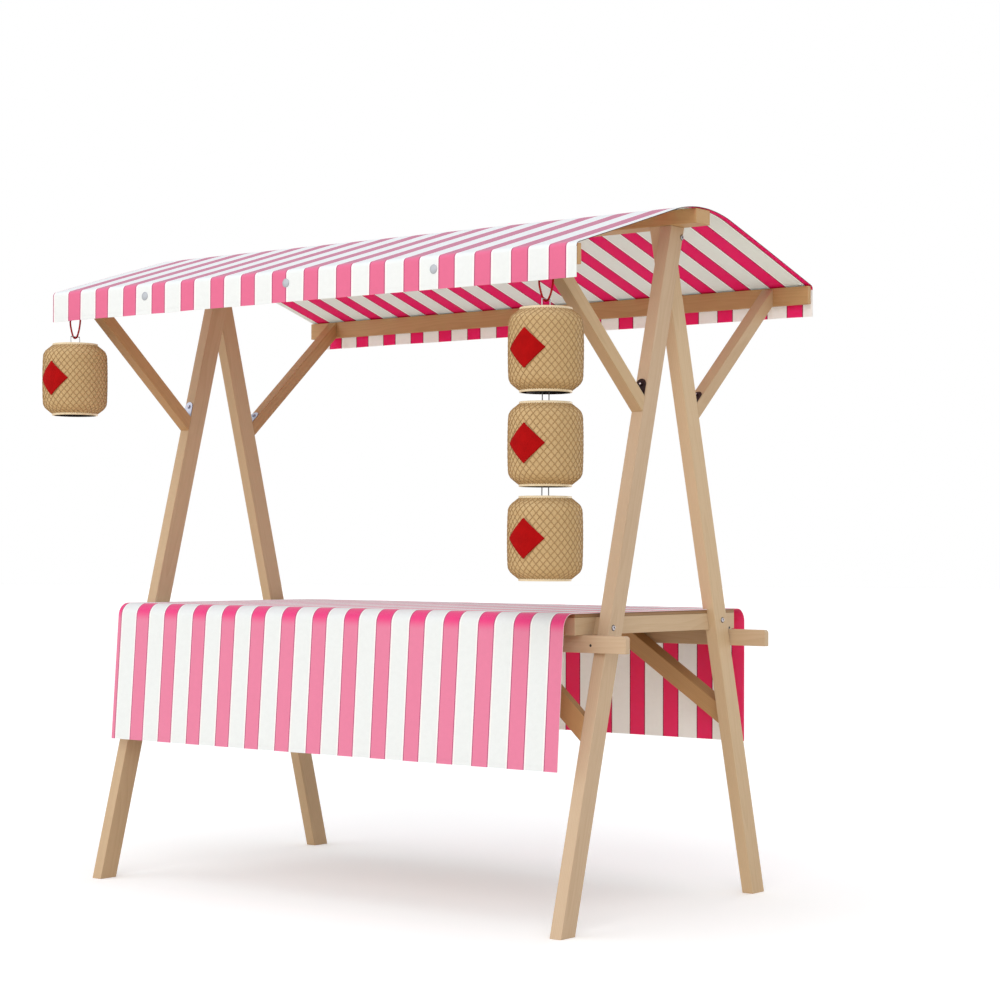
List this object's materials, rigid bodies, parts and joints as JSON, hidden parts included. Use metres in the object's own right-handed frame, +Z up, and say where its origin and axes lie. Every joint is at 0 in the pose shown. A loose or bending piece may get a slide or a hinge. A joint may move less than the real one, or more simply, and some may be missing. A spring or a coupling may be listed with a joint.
{
  "type": "market stall",
  "caption": "Wooden market stall with a pink and white striped canopy, a counter under a striped cloth and hanging woven lanterns.",
  "frame": {"origin": "on the floor, below the middle of the ridge beam", "axes": "+X along the stall to the right as seen by a customer, -Y towards the customer, +Z up"},
  "size_m": [2.0455, 1.306, 1.9997],
  "materials": {
    "pine": "bare planed softwood, lightly worn",
    "striped_canopy_cloth": "plain weave, pink and white stripes",
    "striped_table_cloth": "plain weave, pink and white stripes",
    "woven_straw": "matte woven straw and cane",
    "steel_wire": "bright drawn wire",
    "dark_steel": "dark brown, glossy",
    "zinc_steel": "zinc plated, satin",
    "red_cord": "twisted cord"
  },
  "bodies": {
    "root": {"left_front_leg": "pine", "left_front_eave_strut": "pine", "left_front_knee_brace": "pine", "left_front_bracket": "zinc_steel", "left_rear_leg": "pine", "left_rear_eave_strut": "pine", "left_rear_knee_brace": "pine", "left_rear_bracket": "zinc_steel", "left_end_rail": "pine", "left_packing_block": "pine", "right_front_leg": "pine", "right_front_eave_strut": "pine", "right_front_knee_brace": "pine", "right_front_bracket": "dark_steel", "right_rear_leg": "pine", "right_rear_eave_strut": "pine", "right_rear_knee_brace": "pine", "right_rear_bracket": "dark_steel", "right_end_rail": "pine", "right_packing_block": "pine", "front_eave_rail": "pine", "front_bearer": "pine", "front_counter_rail": "pine", "rear_eave_rail": "pine", "rear_bearer": "pine", "rear_counter_rail": "pine", "ridge_beam": "pine", "middle_joist": "pine", "counter_board": "pine", "canopy": "striped_canopy_cloth", "table_cloth": "striped_table_cloth", "left_lantern": "woven_straw", "right_lantern_top": "woven_straw", "right_lantern_middle": "woven_straw", "right_lantern_bottom": "woven_straw", "lantern_link_upper": "steel_wire", "lantern_link_lower": "steel_wire", "left_lantern_bail": "steel_wire", "left_screw_eye": "steel_wire", "left_cord_knot": "red_cord", "left_lantern_cord": "red_cord", "right_lantern_bail": "steel_wire", "right_screw_eye": "steel_wire", "right_cord_knot": "red_cord", "right_lantern_cord": "red_cord"}
  },
  "joints": []
}
